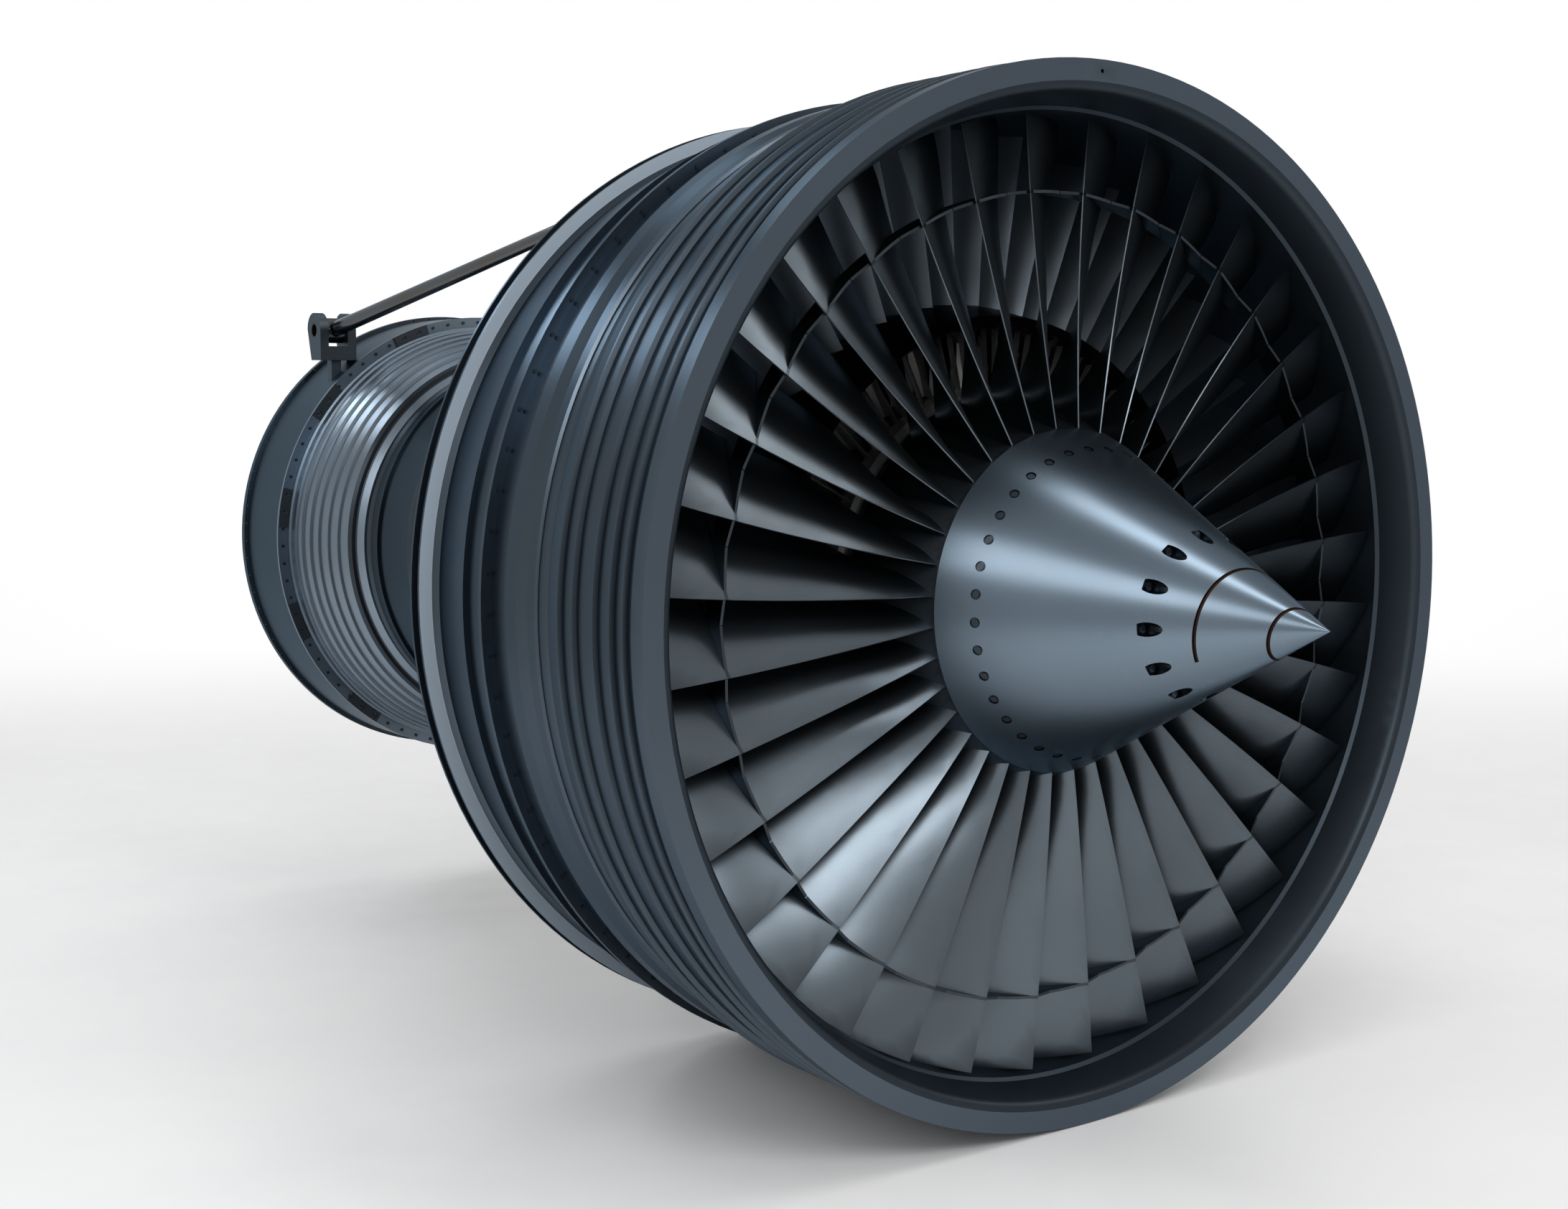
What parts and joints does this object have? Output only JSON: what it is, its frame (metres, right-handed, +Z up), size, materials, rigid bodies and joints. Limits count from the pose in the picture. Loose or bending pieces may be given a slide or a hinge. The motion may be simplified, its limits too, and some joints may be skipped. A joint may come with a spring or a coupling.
{
  "type": "jet engine",
  "caption": "Two-shaft bypass jet engine without cowls: spinner and fan in a ribbed case, core with fuel hoops and turbine behind, rear frame with mount yokes and thrust links.",
  "frame": {"origin": "centre of the exhaust flange's bolt circle, on the flange's aft face", "axes": "+Y aft along the shafts' axis, from the intake to the exhaust; +Z up, through the top between the two mount yokes; +X to the right seen from the front"},
  "size_m": [2.584, 4.222, 2.584],
  "materials": {
    "spinner_metal": "satin",
    "fan_titanium": "satin",
    "case_metal": "satin",
    "liner_metal": "matt",
    "frame_metal": "satin",
    "splitter_metal": "satin, dark",
    "inlet_vane_metal": "satin, dark",
    "inner_casting": "as machined",
    "combustor_metal": "satin",
    "heat_metal": "heat stained",
    "turbine_case_metal": "satin, bright ribs",
    "rear_frame_metal": "satin",
    "pad_metal": "satin, dark",
    "pipe_steel": "polished",
    "link_steel": "polished",
    "yoke_steel": "satin",
    "bolt_steel": "satin",
    "rotor_steel": "as machined",
    "bearing_steel": "ground"
  },
  "bodies": {
    "engine_casing": {"fan_case": "case_metal", "fan_case_liner": "liner_metal", "case_flange_bolts": "bolt_steel", "outlet_guide_vanes": "frame_metal", "splitter_ring": "splitter_metal", "bypass_inner_wall": "liner_metal", "core_inlet_vanes": "inlet_vane_metal", "inlet_vane_inner_ring": "inlet_vane_metal", "booster_case": "inner_casting", "booster_vanes": "rotor_steel", "fan_frame_case": "case_metal", "fan_frame_struts": "frame_metal", "fan_frame_hub": "frame_metal", "fan_frame_core": "inner_casting", "compressor_case": "inner_casting", "compressor_vanes": "rotor_steel", "diffuser_frame": "inner_casting", "combustor_case": "combustor_metal", "combustor_liner": "heat_metal", "fuel_manifold": "pipe_steel", "fuel_hoops": "pipe_steel", "fuel_nozzles": "pipe_steel", "core_turbine_case": "combustor_metal", "core_nozzle_vanes": "heat_metal", "lp_turbine_case": "turbine_case_metal", "lp_nozzle_vanes": "heat_metal", "flange_pads": "pad_metal", "frame_flange_bolts": "bolt_steel", "rear_frame_case": "rear_frame_metal", "rear_frame_struts": "inner_casting", "rear_frame_hub": "inner_casting", "rear_bearing_cover": "inner_casting", "bearing_outer_rings": "bearing_steel", "bearing_rollers": "bearing_steel", "left_mount_yoke": "yoke_steel", "right_mount_yoke": "yoke_steel", "mount_pins": "link_steel", "left_thrust_link": "link_steel", "right_thrust_link": "link_steel", "link_brackets": "yoke_steel", "link_bracket_pins": "link_steel"},
    "fan_spool": {"spinner_cone": "spinner_metal", "spinner_support": "inner_casting", "spinner_front_bolts": "bolt_steel", "spinner_rear_screws": "bolt_steel", "fan_blades": "fan_titanium", "fan_disk": "rotor_steel", "booster_drum": "rotor_steel", "booster_blades": "rotor_steel", "low_pressure_shaft": "rotor_steel", "lp_turbine_drum": "heat_metal", "lp_turbine_blades": "heat_metal", "lp_bearing_inner_rings": "bearing_steel"},
    "core_spool": {"compressor_drum": "rotor_steel", "compressor_blades": "rotor_steel", "core_shaft": "rotor_steel", "core_turbine_drum": "heat_metal", "core_turbine_blades": "heat_metal", "core_bearing_inner_rings": "bearing_steel"}
  },
  "joints": [
    {"name": "fan_spool_spin", "type": "hinge", "parent": "engine_casing", "child": "fan_spool", "pos_m": [0, -3.219, 0], "axis": [0, 1, 0], "continuous": true},
    {"name": "core_spool_spin", "type": "hinge", "parent": "engine_casing", "child": "core_spool", "pos_m": [0, -1.619, 0], "axis": [0, 1, 0], "continuous": true}
  ]
}
